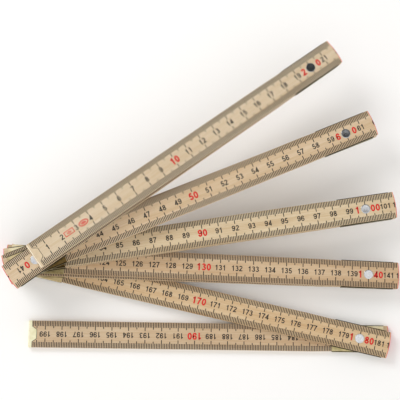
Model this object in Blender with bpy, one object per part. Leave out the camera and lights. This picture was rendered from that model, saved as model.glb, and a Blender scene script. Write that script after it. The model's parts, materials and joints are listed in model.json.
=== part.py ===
"""Folding rule: ten wooden blades, one above the other, joined by nine riveted steel hinges.

Every blade has the same local frame: its underside is at z = 0 and the scale runs along X. A blade's
lower hinge (the one to the blade below it) is at x = 0 and its upper hinge (to the blade above) is one
hinge spacing further along +X. The top blade's free end takes the place of the upper hinge, and the
bottom blade's free end takes the place of the lower one. Blades are numbered from the top.
"""

import math

import bmesh
import bpy
from mathutils import Vector

MM = 0.001

# ---------------------------------------------------------------- driving dimensions
BLADE_COUNT = 10
HINGE_SPACING = 200.0 * MM        # rivet to rivet along a blade
BLADE_WIDTH = 16.0 * MM
BLADE_THICKNESS = 3.0 * MM
BLADE_GAP = 0.5 * MM              # free space between neighbouring blades
BLADE_END_REACH = 18.7 * MM       # rivet centre to the blade's rounded end
BLADE_END_SAG = 0.6 * MM          # how far the end bulges between its corners
CORNER_CUT = 0.35 * MM            # blunted corner at the blade's end
EDGE_CHAMFER = 0.1 * MM           # broken long edges of the wood

PLATE_SHEET = 0.45 * MM           # hinge plate sheet thickness
PLATE_REACH_END = 15.4 * MM       # rivet centre to the plate's edge near the blade's end
PLATE_REACH_MIDDLE = 16.4 * MM    # rivet centre to the plate's edge near the blade's middle
PLATE_PROUD = 0.25 * MM           # how far a flange stands out from the blade's side
PLATE_BEND_RADIUS = 0.5 * MM      # outside radius between plate and flange
FLANGE_COVER = 2.1 * MM           # how much of the blade's side a flange covers
WAIST_TAPER = 11.5 * MM           # length over which the wood narrows towards the plate

RIVET_SHAFT_RADIUS = 1.5 * MM
RIVET_HEAD_RADIUS = 2.8 * MM
RIVET_HEAD_THICKNESS = 0.5 * MM
RIVET_HEAD_RISE = 0.1 * MM        # how far a rivet head stands out of the wood
RIVET_HEAD_EDGE = 0.1 * MM        # broken edge of a rivet head

SPRING_SHEET = 0.4 * MM           # detent spring sheet thickness
SPRING_LENGTH = 13.0 * MM
SPRING_WIDTH = 7.0 * MM
DETENT_RADIUS = 4.6 * MM          # rivet centre to the spring's nubs and the plate's detent holes
NUB_BASE_RADIUS = 0.8 * MM
NUB_TOP_RADIUS = 0.4 * MM
NUB_RISE = 0.1 * MM               # height of a nub above its spring
DETENT_CLICKS = 4                 # detent holes, one every quarter turn

CAP_SHEET = 0.4 * MM              # end cap sheet thickness
CAP_RISE = 0.1 * MM               # how far the cap stands out of the blade's two faces
CAP_STRIP = 2.1 * MM              # depth of the cap's full-width strip
CAP_TONGUE_REACH = 4.8 * MM       # free end to the tip of the cap's tongue
CAP_TONGUE_ROOT = 9.0 * MM        # tongue width where it leaves the strip
CAP_TONGUE_TIP = 5.3 * MM         # tongue width at its tip
CAP_BEND_RADIUS = 0.35 * MM

SEAT_CLEARANCE = 0.05 * MM        # between pieces that lie still against each other
RUNNING_CLEARANCE = 0.1 * MM      # between the two plates of a hinge
BORE_CLEARANCE = 0.05 * MM        # radial, between the rivet shaft and its bores

# How far each hinge stands open in the modelled pose, in degrees, from the top hinge to the bottom one.
# The third hinge is negative because it stands open to the other side.
HINGE_OPENINGS = (0.4, 12.8, -0.7, 13.4, 0.1, 11.2, 0.5, 11.1, 12.2)

BORE_SIDES = 16
HEAD_SIDES = 16
END_ARC_STEPS = 6
BEND_STEPS = 2
NUB_SIDES = 8

# ---------------------------------------------------------------- sizes that follow from them
BLADE_PITCH = BLADE_THICKNESS + BLADE_GAP
PLATE_STAND = (BLADE_GAP - RUNNING_CLEARANCE) / 2      # plate's outer face above the wood's face
PLATE_POCKET = PLATE_SHEET - PLATE_STAND + SEAT_CLEARANCE
PLATE_HALF_WIDTH = BLADE_WIDTH / 2 + PLATE_PROUD
WAIST_HALF_WIDTH = PLATE_HALF_WIDTH - PLATE_SHEET - SEAT_CLEARANCE
BORE_RADIUS = RIVET_SHAFT_RADIUS + BORE_CLEARANCE
HEAD_POCKET = RIVET_HEAD_THICKNESS - RIVET_HEAD_RISE + SEAT_CLEARANCE
HEAD_POCKET_RADIUS = RIVET_HEAD_RADIUS + BORE_CLEARANCE
RIVET_GRIP = BLADE_THICKNESS + BLADE_PITCH             # outer wood face to outer wood face
CAP_POCKET = CAP_SHEET - CAP_RISE + SEAT_CLEARANCE
CUT_MARGIN = 1.0 * MM                                  # how far a cutter runs past what it cuts


# ---------------------------------------------------------------- materials
def srgb(hex_colour):
    """A hex colour as linear red, green, blue and alpha."""
    channels = [int(hex_colour[i:i + 2], 16) / 255 for i in (0, 2, 4)]
    linear = [c / 12.92 if c <= 0.04045 else ((c + 0.055) / 1.055) ** 2.4 for c in channels]
    return (*linear, 1.0)


def make_material(name, hex_colour, roughness, metallic):
    material = bpy.data.materials.new(name)
    material.use_nodes = True
    shader = material.node_tree.nodes["Principled BSDF"]
    shader.inputs["Base Color"].default_value = srgb(hex_colour)
    shader.inputs["Roughness"].default_value = roughness
    shader.inputs["Metallic"].default_value = metallic
    return material


# ---------------------------------------------------------------- mesh helpers
def mesh_from_bmesh(bm, name):
    bmesh.ops.recalc_face_normals(bm, faces=bm.faces)
    mesh = bpy.data.meshes.new(name)
    bm.to_mesh(mesh)
    bm.free()
    return mesh


def prism(outline, low, high, chamfer=0.0):
    """A solid with an upright wall along the outline, from low to high, its rims broken by a chamfer."""
    bm = bmesh.new()
    floor = bm.faces.new([bm.verts.new((x, y, low)) for x, y in outline])
    extruded = bmesh.ops.extrude_face_region(bm, geom=[floor])
    top = [item for item in extruded["geom"] if isinstance(item, bmesh.types.BMVert)]
    bmesh.ops.translate(bm, verts=top, vec=(0, 0, high - low))
    if chamfer:
        rims = [edge for edge in bm.edges if edge.verts[0].co.z == edge.verts[1].co.z]
        bmesh.ops.bevel(bm, geom=rims, offset=chamfer, segments=1, affect="EDGES", profile=0.5)
    return bm


def circle(radius, sides, centre=(0.0, 0.0), turn=0.0):
    steps = [turn + 2 * math.pi * step / sides for step in range(sides)]
    return [(centre[0] + radius * math.cos(a), centre[1] + radius * math.sin(a)) for a in steps]


def clear_circle(radius, sides, centre=(0.0, 0.0)):
    """A polygon whose flats, and not its corners, lie on the circle, so a round pin turns freely in it."""
    return circle(radius / math.cos(math.pi / sides), sides, centre, math.pi / sides)


def rectangle(x_low, x_high, y_low, y_high):
    return [(x_low, y_low), (x_high, y_low), (x_high, y_high), (x_low, y_high)]


def mirrored(outline, x_mirror):
    """The outline reflected in the upright line x = x_mirror, running the same way round."""
    return [(2 * x_mirror - x, y) for x, y in reversed(outline)]


def cut(solid, cutters, name):
    """Cuts each cutter out of the solid, and returns the result as one plain mesh."""
    body = bpy.data.objects.new(name, mesh_from_bmesh(solid, name + "_blank"))
    bpy.context.scene.collection.objects.link(body)
    tools = []
    for number, cutter in enumerate(cutters):
        tool = bpy.data.objects.new(f"{name}_cutter_{number}", mesh_from_bmesh(cutter, f"{name}_cutter"))
        tool.hide_render = True
        tool.display_type = "WIRE"
        bpy.context.scene.collection.objects.link(tool)
        boolean = body.modifiers.new(f"cut_{number}", "BOOLEAN")
        boolean.operation = "DIFFERENCE"
        boolean.solver = "EXACT"
        boolean.object = tool
        tools.append(tool)
    evaluated = body.evaluated_get(bpy.context.evaluated_depsgraph_get())
    mesh = bpy.data.meshes.new_from_object(evaluated)
    mesh.name = name
    for obj in (body, *tools):
        bpy.data.objects.remove(obj)
    return mesh


def smooth(mesh, degrees=30):
    mesh.shade_smooth()
    mesh.set_sharp_from_angle(angle=math.radians(degrees))
    return mesh


# ---------------------------------------------------------------- the wooden blades
def hinged_end():
    """The outline of a blade's hinged end, for a hinge at x = 0 and the end towards -X.

    It runs from the full-width wood on the +Y side round the end to the full-width wood on the -Y side. The
    wood is narrower where the plate's flanges lie, and full again beyond them.
    """
    taper_start = PLATE_REACH_MIDDLE + WAIST_TAPER
    taper_end = PLATE_REACH_MIDDLE + SEAT_CLEARANCE
    plate_end = -(PLATE_REACH_END + SEAT_CLEARANCE)
    waist = WAIST_HALF_WIDTH
    half = BLADE_WIDTH / 2
    chord_half = half - CORNER_CUT
    arc_radius = (chord_half ** 2 + BLADE_END_SAG ** 2) / (2 * BLADE_END_SAG)
    arc_half_angle = math.asin(chord_half / arc_radius)
    arc_centre = -BLADE_END_REACH + arc_radius
    upper = [(taper_start, half), (taper_end, waist), (plate_end, waist), (plate_end, half)]
    shoulder = arc_centre - arc_radius * math.cos(arc_half_angle) + CORNER_CUT
    upper.append((shoulder, half))
    arc = []
    for step in range(END_ARC_STEPS + 1):
        angle = arc_half_angle * (1 - 2 * step / END_ARC_STEPS)
        arc.append((arc_centre - arc_radius * math.cos(angle), arc_radius * math.sin(angle)))
    lower = [(x, -y) for x, y in reversed(upper)]
    return upper + arc + lower


def capped_end():
    """The outline of the wood inside an end cap whose outer face is at x = 0, the end towards -X."""
    wood_end = CAP_SHEET + SEAT_CLEARANCE
    return [(wood_end, BLADE_WIDTH / 2), (wood_end, -BLADE_WIDTH / 2)]


def cap_outline(grow=0.0):
    """The cap seen from above: a strip across the blade with a tapering tongue, the free end at x = 0."""
    half = BLADE_WIDTH / 2 + (CUT_MARGIN if grow else 0.0)
    root = CAP_TONGUE_ROOT / 2 + grow
    tip = CAP_TONGUE_TIP / 2 + grow
    strip = CAP_STRIP + grow
    reach = CAP_TONGUE_REACH + grow
    end = -CUT_MARGIN if grow else 0.0
    return [(end, half), (end, -half), (strip, -half), (strip, -root), (reach, -tip),
            (reach, tip), (strip, root), (strip, half)]


def blade_mesh(name, lower_hinge, upper_hinge):
    """One blade, cut for its rivets, hinge plates and caps."""
    near = hinged_end() if lower_hinge else capped_end()
    far = hinged_end() if upper_hinge else capped_end()
    outline = near + [(HINGE_SPACING - x, -y) for x, y in far]
    wood = prism(outline, 0.0, BLADE_THICKNESS, EDGE_CHAMFER)
    plate_near = -(PLATE_REACH_END + SEAT_CLEARANCE)
    plate_far = PLATE_REACH_MIDDLE + SEAT_CLEARANCE
    side = BLADE_WIDTH / 2 + CUT_MARGIN
    floor, ceiling = -CUT_MARGIN, BLADE_THICKNESS + CUT_MARGIN
    plate_area = rectangle(plate_near, plate_far, -side, side)
    cap_area = cap_outline(SEAT_CLEARANCE)
    cutters = []
    for hinged, is_lower in ((lower_hinge, True), (upper_hinge, False)):
        if hinged:
            hinge_x = 0.0 if is_lower else HINGE_SPACING
            centre = (hinge_x, 0.0)
            area = plate_area if is_lower else mirrored(plate_area, HINGE_SPACING / 2)
            below, above = (PLATE_POCKET, HEAD_POCKET) if is_lower else (HEAD_POCKET, PLATE_POCKET)
            head = clear_circle(HEAD_POCKET_RADIUS, HEAD_SIDES, centre)
            cutters.append(prism(clear_circle(BORE_RADIUS, BORE_SIDES, centre), floor, ceiling))
            cutters.append(prism(area if is_lower else head, floor, below))
            cutters.append(prism(head if is_lower else area, BLADE_THICKNESS - above, ceiling))
        else:
            area = cap_area if is_lower else mirrored(cap_area, HINGE_SPACING / 2)
            cutters.append(prism(area, floor, CAP_POCKET))
            cutters.append(prism(area, BLADE_THICKNESS - CAP_POCKET, ceiling))
    return cut(wood, cutters, name)


# ---------------------------------------------------------------- the hinge pieces
def plate_profile():
    """The cross-section of a hinge plate in Y and Z: a channel that opens upwards, outer face at z = 0."""
    half = PLATE_HALF_WIDTH
    top = PLATE_STAND + FLANGE_COVER
    inner = half - PLATE_SHEET
    bend = []
    for step in range(BEND_STEPS + 1):
        angle = math.pi / 2 * step / BEND_STEPS
        bend.append((half - PLATE_BEND_RADIUS * (1 - math.sin(angle)), PLATE_BEND_RADIUS * (1 - math.cos(angle))))
    right = bend + [(half, top), (inner, top), (inner, PLATE_SHEET)]
    return right + [(-y, z) for y, z in reversed(right)]


def plate_blank():
    """A hinge plate without its holes: outer face at z = 0, flanges up, the blade's end towards -X."""
    bm = bmesh.new()
    start = bm.faces.new([bm.verts.new((-PLATE_REACH_END, y, z)) for y, z in plate_profile()])
    extruded = bmesh.ops.extrude_face_region(bm, geom=[start])
    moved = [item for item in extruded["geom"] if isinstance(item, bmesh.types.BMVert)]
    bmesh.ops.translate(bm, verts=moved, vec=(PLATE_REACH_END + PLATE_REACH_MIDDLE, 0, 0))
    return bm


def upper_plate_mesh():
    """The plate under the upper blade of a hinge, with a bore and a ring of detent holes."""
    low, high = -CUT_MARGIN, PLATE_SHEET + CUT_MARGIN
    cutters = [prism(clear_circle(BORE_RADIUS, BORE_SIDES), low, high)]
    for centre in circle(DETENT_RADIUS, DETENT_CLICKS):
        hole = clear_circle(NUB_BASE_RADIUS + SEAT_CLEARANCE, NUB_SIDES, centre)
        cutters.append(prism(hole, low, high))
    return smooth(cut(plate_blank(), cutters, "upper_hinge_plate"))


def lower_plate_mesh():
    """The plate on the lower blade, with a window that holds the detent spring; turned over, flanges down."""
    half_length = SPRING_LENGTH / 2 + SEAT_CLEARANCE
    half_width = SPRING_WIDTH / 2 + SEAT_CLEARANCE
    window = prism(rectangle(-half_length, half_length, -half_width, half_width),
                   -CUT_MARGIN, PLATE_SHEET + CUT_MARGIN)
    mesh = cut(plate_blank(), [window], "lower_hinge_plate")
    for vertex in mesh.vertices:
        vertex.co = Vector((vertex.co.x, -vertex.co.y, -vertex.co.z))
    return smooth(mesh)


def spring_mesh():
    """The flat detent spring: a leaf with a bore and two nubs that rise from its upper face."""
    leaf = prism(rectangle(-SPRING_LENGTH / 2, SPRING_LENGTH / 2, -SPRING_WIDTH / 2, SPRING_WIDTH / 2),
                 0.0, SPRING_SHEET)
    bore = prism(clear_circle(BORE_RADIUS, BORE_SIDES), -CUT_MARGIN, SPRING_SHEET + CUT_MARGIN)
    mesh = cut(leaf, [bore], "detent_spring")
    body = bpy.data.objects.new("spring_leaf", mesh)
    bpy.context.scene.collection.objects.link(body)
    nubs = []
    for number, side in enumerate((-1, 1)):
        bm = bmesh.new()
        height = SPRING_SHEET / 2 + NUB_RISE
        bmesh.ops.create_cone(bm, cap_ends=True, segments=NUB_SIDES, radius1=NUB_BASE_RADIUS,
                              radius2=NUB_TOP_RADIUS, depth=height)
        centre = (side * DETENT_RADIUS, 0, SPRING_SHEET + NUB_RISE - height / 2)
        bmesh.ops.translate(bm, verts=bm.verts, vec=centre)
        nub = bpy.data.objects.new(f"nub_{number}", mesh_from_bmesh(bm, "nub"))
        bpy.context.scene.collection.objects.link(nub)
        union = body.modifiers.new(f"nub_{number}", "BOOLEAN")
        union.operation = "UNION"
        union.solver = "EXACT"
        union.object = nub
        nubs.append(nub)
    evaluated = body.evaluated_get(bpy.context.evaluated_depsgraph_get())
    joined = bpy.data.meshes.new_from_object(evaluated)
    joined.name = "detent_spring"
    for obj in (body, *nubs):
        bpy.data.objects.remove(obj)
    return joined


def rivet_mesh():
    """A rivet with two flat heads, its lower head's outer face at z = 0."""
    length = RIVET_GRIP + 2 * RIVET_HEAD_RISE
    profile = [
        (0.0, 0.0),
        (RIVET_HEAD_RADIUS - RIVET_HEAD_EDGE, 0.0),
        (RIVET_HEAD_RADIUS, RIVET_HEAD_EDGE),
        (RIVET_HEAD_RADIUS, RIVET_HEAD_THICKNESS),
        (RIVET_SHAFT_RADIUS, RIVET_HEAD_THICKNESS),
    ]
    profile += [(radius, length - z) for radius, z in reversed(profile)]
    bm = bmesh.new()
    line = [bm.verts.new((radius, 0, z)) for radius, z in profile]
    edges = [bm.edges.new(pair) for pair in zip(line, line[1:])]
    bmesh.ops.spin(bm, geom=line + edges, cent=(0, 0, 0), axis=(0, 0, 1), angle=2 * math.pi,
                   steps=HEAD_SIDES, use_merge=True)
    bmesh.ops.remove_doubles(bm, verts=bm.verts, dist=1e-6)
    return smooth(mesh_from_bmesh(bm, "rivet"))


def cap_mesh():
    """The folded end cap, its outer end face at x = 0 and the blade towards +X, as deep as the blade."""
    low, high = -CAP_RISE, BLADE_THICKNESS + CAP_RISE
    shell = prism(cap_outline(), low, high)
    folds = [edge for edge in shell.edges
             if all(vertex.co.x == 0.0 for vertex in edge.verts) and edge.verts[0].co.z == edge.verts[1].co.z]
    bmesh.ops.bevel(shell, geom=folds, offset=CAP_BEND_RADIUS, segments=BEND_STEPS, affect="EDGES", profile=0.5)
    side = BLADE_WIDTH / 2 + CUT_MARGIN
    inside = prism(rectangle(CAP_SHEET, CAP_TONGUE_REACH + CUT_MARGIN, -side, side),
                   low + CAP_SHEET, high - CAP_SHEET)
    return smooth(cut(shell, [inside], "end_cap"))


# ---------------------------------------------------------------- putting the rule together
def place(name, mesh, material, parent, location=(0, 0, 0), half_turn=False):
    obj = bpy.data.objects.new(name, mesh)
    if not mesh.materials:
        mesh.materials.append(material)
    bpy.context.scene.collection.objects.link(obj)
    obj.parent = parent
    obj.location = location
    obj.rotation_euler = (0, 0, math.pi if half_turn else 0)
    return obj


def blade_axis(number, parent):
    """The empty that carries a blade, with its origin on the hinge to the blade below.

    The upper blade of a right-hand hinge opens clockwise and that of a left-hand hinge opens
    counter-clockwise, so the rule unfolds in a zigzag.
    """
    axis = bpy.data.objects.new(f"blade_{number:02d}_axis", None)
    bpy.context.scene.collection.objects.link(axis)
    if parent is not None:
        opens = 1 if number % 2 == 0 else -1
        opening = math.radians(HINGE_OPENINGS[number - 1])
        axis.parent = parent
        axis.location = (HINGE_SPACING, 0, BLADE_PITCH)
        axis.rotation_euler = (0, 0, math.pi + opens * opening)
    return axis


def stand_on_origin(root, pieces):
    """Moves the rule so that the middle of its bounding box's underside is at the origin."""
    bpy.context.view_layer.update()
    corners = [piece.matrix_world @ vertex.co for piece in pieces for vertex in piece.data.vertices]
    low = Vector([min(corner[i] for corner in corners) for i in range(3)])
    high = Vector([max(corner[i] for corner in corners) for i in range(3)])
    root.location = (-(low.x + high.x) / 2, -(low.y + high.y) / 2, -low.z)


def build_rule():
    wood = make_material("birch", "DCC7A0", 0.55, 0.0)
    plate_steel = make_material("chromated_steel", "B9B07A", 0.35, 1.0)
    rivet_steel = make_material("rivet_steel", "A9ADB3", 0.35, 1.0)
    spring_steel = make_material("spring_steel", "8C8F94", 0.3, 1.0)
    cap_steel = make_material("cap_steel", "E4DFB0", 0.35, 1.0)

    middle_blade = blade_mesh("middle_blade", True, True)
    upper_plate = upper_plate_mesh()
    lower_plate = lower_plate_mesh()
    spring = spring_mesh()
    rivet = rivet_mesh()
    cap = cap_mesh()
    blade_meshes = {number: middle_blade for number in range(2, BLADE_COUNT)}
    blade_meshes[1] = blade_mesh("top_blade", True, False)
    blade_meshes[BLADE_COUNT] = blade_mesh("bottom_blade", False, True)

    pieces = []
    root = parent = None
    for number in range(BLADE_COUNT, 0, -1):
        axis = blade_axis(number, parent)
        root = root or axis
        pieces.append(place(f"blade_{number:02d}", blade_meshes[number], wood, axis))
        if number < BLADE_COUNT:
            pieces.append(place(f"upper_hinge_plate_{number}", upper_plate, plate_steel, axis,
                                (0, 0, -PLATE_STAND)))
        if number > 1:
            hinge = number - 1
            spring_floor = BLADE_THICKNESS - PLATE_POCKET + SEAT_CLEARANCE
            pieces.append(place(f"lower_hinge_plate_{hinge}", lower_plate, plate_steel, axis,
                                (HINGE_SPACING, 0, BLADE_THICKNESS + PLATE_STAND), half_turn=True))
            pieces.append(place(f"detent_spring_{hinge}", spring, spring_steel, axis,
                                (HINGE_SPACING, 0, spring_floor)))
            pieces.append(place(f"rivet_{hinge}", rivet, rivet_steel, axis,
                                (HINGE_SPACING, 0, -RIVET_HEAD_RISE)))
        parent = axis
    pieces.append(place("zero_end_cap", cap, cap_steel, parent, (HINGE_SPACING, 0, 0), half_turn=True))
    pieces.append(place("far_end_cap", cap, cap_steel, root))
    stand_on_origin(root, pieces)


for leftover in list(bpy.data.objects):
    bpy.data.objects.remove(leftover)
build_rule()
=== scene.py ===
# %% [markdown]
# # A wooden folding rule, standing half open
#
# The rule has ten birch blades, stacked one above the other and joined by riveted steel hinges. The
# frame that this script loads already holds every moving solid: blades, hinge plates, springs, rivets
# and end caps. This lesson adds what makes it a measuring tool and what makes it look real: the printed
# scale, the lacquered wood, the dipped red ends, the chromated steel and the light.

# %% Load the frame
import math

import bmesh
import bpy
from mathutils import Matrix, Vector
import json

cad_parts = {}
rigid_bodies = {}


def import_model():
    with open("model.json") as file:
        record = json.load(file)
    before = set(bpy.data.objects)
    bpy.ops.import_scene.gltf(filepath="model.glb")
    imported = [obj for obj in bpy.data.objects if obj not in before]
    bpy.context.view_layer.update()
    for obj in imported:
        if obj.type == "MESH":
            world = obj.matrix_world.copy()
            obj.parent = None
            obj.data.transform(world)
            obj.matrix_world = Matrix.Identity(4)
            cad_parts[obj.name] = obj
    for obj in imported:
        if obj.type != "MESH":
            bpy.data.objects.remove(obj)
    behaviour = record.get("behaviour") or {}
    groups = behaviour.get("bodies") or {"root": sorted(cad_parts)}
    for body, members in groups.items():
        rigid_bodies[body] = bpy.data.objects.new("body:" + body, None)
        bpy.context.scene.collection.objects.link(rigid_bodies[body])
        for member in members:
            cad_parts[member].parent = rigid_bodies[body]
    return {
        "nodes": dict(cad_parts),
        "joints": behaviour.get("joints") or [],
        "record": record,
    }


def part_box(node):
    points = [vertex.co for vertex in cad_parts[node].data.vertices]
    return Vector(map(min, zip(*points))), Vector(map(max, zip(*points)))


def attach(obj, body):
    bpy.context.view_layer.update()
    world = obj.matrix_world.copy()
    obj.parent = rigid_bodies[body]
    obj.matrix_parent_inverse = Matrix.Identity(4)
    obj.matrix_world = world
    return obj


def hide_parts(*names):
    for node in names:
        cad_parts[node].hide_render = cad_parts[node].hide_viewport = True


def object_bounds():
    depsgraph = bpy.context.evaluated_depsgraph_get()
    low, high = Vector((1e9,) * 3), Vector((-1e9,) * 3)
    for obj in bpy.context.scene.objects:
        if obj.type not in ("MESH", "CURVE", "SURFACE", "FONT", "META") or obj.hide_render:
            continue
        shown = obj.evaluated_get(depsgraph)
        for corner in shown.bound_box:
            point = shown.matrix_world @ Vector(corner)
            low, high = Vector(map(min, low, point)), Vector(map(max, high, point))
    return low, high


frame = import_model()
cad_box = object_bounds()
MM = 0.001

# %% [markdown]
# ## One local frame for each blade
#
# A scale is easiest to draw on a blade that lies straight along X. So every blade gets a local frame:
# x = 0 is its lower hinge, and +X points at its upper hinge. The places come from the frame itself: the
# hinge axes are in its joints, and the two free ends are its mounts. A matrix for each blade then carries
# a finished piece from the local frame to the blade's real place, and the piece's object stays at the
# origin.

# %% Blade frames
BLADE_COUNT = sum(1 for name in frame["nodes"] if name.startswith("blade_"))
HINGES = {int(j["name"].split("_")[1]): Vector(j["pos_m"]) for j in frame["joints"]}
MOUNTS = {mount["name"]: mount for mount in frame["record"]["mounts"]}
ZERO_END = Vector(MOUNTS["zero_end_stop"]["pos_m"])
FAR_END = Vector(MOUNTS["far_end_stop"]["pos_m"])
SPACING = (HINGES[1].xy - HINGES[2].xy).length


def blade_matrix(number):
    """Local blade coordinates to the frame's, with z = 0 on the blade's underside."""
    start = HINGES.get(number, FAR_END)
    target = HINGES.get(number - 1, ZERO_END)
    along = (target.xy - start.xy).normalized()
    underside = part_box(f"blade_{number:02d}")[0].z
    turn = Matrix.Rotation(math.atan2(along.y, along.x), 4, "Z")
    return Matrix.Translation((start.x, start.y, underside)) @ turn


BLADES = {number: blade_matrix(number) for number in range(1, BLADE_COUNT + 1)}
low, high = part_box("blade_01")
THICKNESS = high.z - low.z
print("blades:", BLADE_COUNT, "spacing", round(SPACING / MM, 1), "mm")
print("blade thickness:", round(THICKNESS / MM, 2), "mm")

# %% [markdown]
# ## Helpers for node trees
#
# Geometry trees and materials are built the same way: make a node, set its properties, then give each
# input either a value or a link from an earlier socket. One small function does all of that. Colours are
# written as the sRGB hex codes that a paint chart would give, and one function turns them linear, which
# is what the shader expects.

# %% Node and colour helpers


def add_node(tree, kind, settings=None, inputs=None):
    """Adds a node; settings are its properties, and inputs are values or sockets to link."""
    node = tree.nodes.new(kind)
    for name, value in (settings or {}).items():
        setattr(node, name, value)
    for socket, value in (inputs or {}).items():
        if isinstance(value, bpy.types.NodeSocket):
            tree.links.new(value, node.inputs[socket])
        else:
            node.inputs[socket].default_value = value
    return node


def linear(hex_colour):
    """An sRGB hex colour as linear red, green, blue and alpha."""
    channels = [int(hex_colour[i:i + 2], 16) / 255 for i in (1, 3, 5)]
    values = [c / 12.92 if c <= 0.04045 else ((c + 0.055) / 1.055) ** 2.4 for c in channels]
    return (*values, 1.0)


def new_material(name):
    """An empty material with its shader, its tree, and object coordinates."""
    material = bpy.data.materials.new(name)
    material.use_nodes = True
    tree = material.node_tree
    shader = tree.nodes["Principled BSDF"]
    coordinates = add_node(tree, "ShaderNodeTexCoord").outputs["Object"]
    return material, tree, shader, coordinates


def set_ramp(node, stops):
    """Gives a colour ramp its stops, as (position, hex colour)."""
    ramp = node.color_ramp
    while len(ramp.elements) > 1:
        ramp.elements.remove(ramp.elements[-1])
    ramp.elements[0].position, ramp.elements[0].color = stops[0][0], linear(stops[0][1])
    for position, colour in stops[1:]:
        ramp.elements.new(position).color = linear(colour)


# %% [markdown]
# ## Finish: lacquered birch with a red dipped end
#
# Rule blades are sawn birch, sanded and dipped in clear lacquer. The grain runs along the blade, so the
# texture is worked out in the blade's own frame: a Mapping node of the TEXTURE kind takes the frame's
# coordinates back to the local ones. Three layers make the wood. Broad bands about 4 mm wide are the year
# rings of flat-sawn timber. Fine streaks 0.5 mm wide and 20 mm long are the fibres. Short dark dashes are
# the pores; real ones are 0.05 mm wide, and they are drawn 0.15 mm wide so that they show.
#
# The rounded ends are dipped in red paint. The paint covers everything further from the end's arc centre
# than the arc's radius less a thin rim, so it wraps over the edge as real dipping does. A little noise
# makes its border uneven.

# %% Birch
END_REACH = 18.7 * MM          # rivet centre to the rounded end
END_ARC_RADIUS = 49.1 * MM     # radius of that rounded end
PAINT_RIM = 0.34 * MM          # how far the paint laps onto the two faces
BAND_WIDTH, BAND_LENGTH = 4.0 * MM, 90.0 * MM
FIBRE_WIDTH, FIBRE_LENGTH = 0.5 * MM, 20.0 * MM
PORE_WIDTH, PORE_LENGTH = 0.15 * MM, 2.4 * MM
PORE_TONE, DIP_RED = "#9C7C52", "#DB3B45"
PLANK_SHIFT = (0.37, 0.11, 0.05)   # metres from one blade's piece of grain to the next one's
DRIP_SIZE, DRIP_DEPTH = 1.6 * MM, 0.3 * MM


def stretched(tree, local, length, width):
    """Local coordinates scaled so that one unit is one feature of that length and width."""
    scale = (1 / length, 1 / width, 1 / width)
    return add_node(tree, "ShaderNodeMapping", inputs={"Vector": local, "Scale": scale}).outputs["Vector"]


def blade_coordinates(tree, frame_coordinates, number):
    """The frame's coordinates taken back to a blade's local ones."""
    place = BLADES[number]
    mapping = add_node(tree, "ShaderNodeMapping", {"vector_type": "TEXTURE"}, {
        "Vector": frame_coordinates, "Location": place.translation, "Rotation": place.to_euler()})
    return mapping.outputs["Vector"]


def end_distance(tree, local, centre_x):
    """How far a point is from the arc centre of a rounded end, seen from above."""
    flat = add_node(tree, "ShaderNodeVectorMath", {"operation": "MULTIPLY"}, {0: local, 1: (1, 1, 0)})
    away = add_node(tree, "ShaderNodeVectorMath", {"operation": "DISTANCE"},
                    {0: flat.outputs[0], 1: (centre_x, 0, 0)})
    return away.outputs["Value"]


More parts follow.
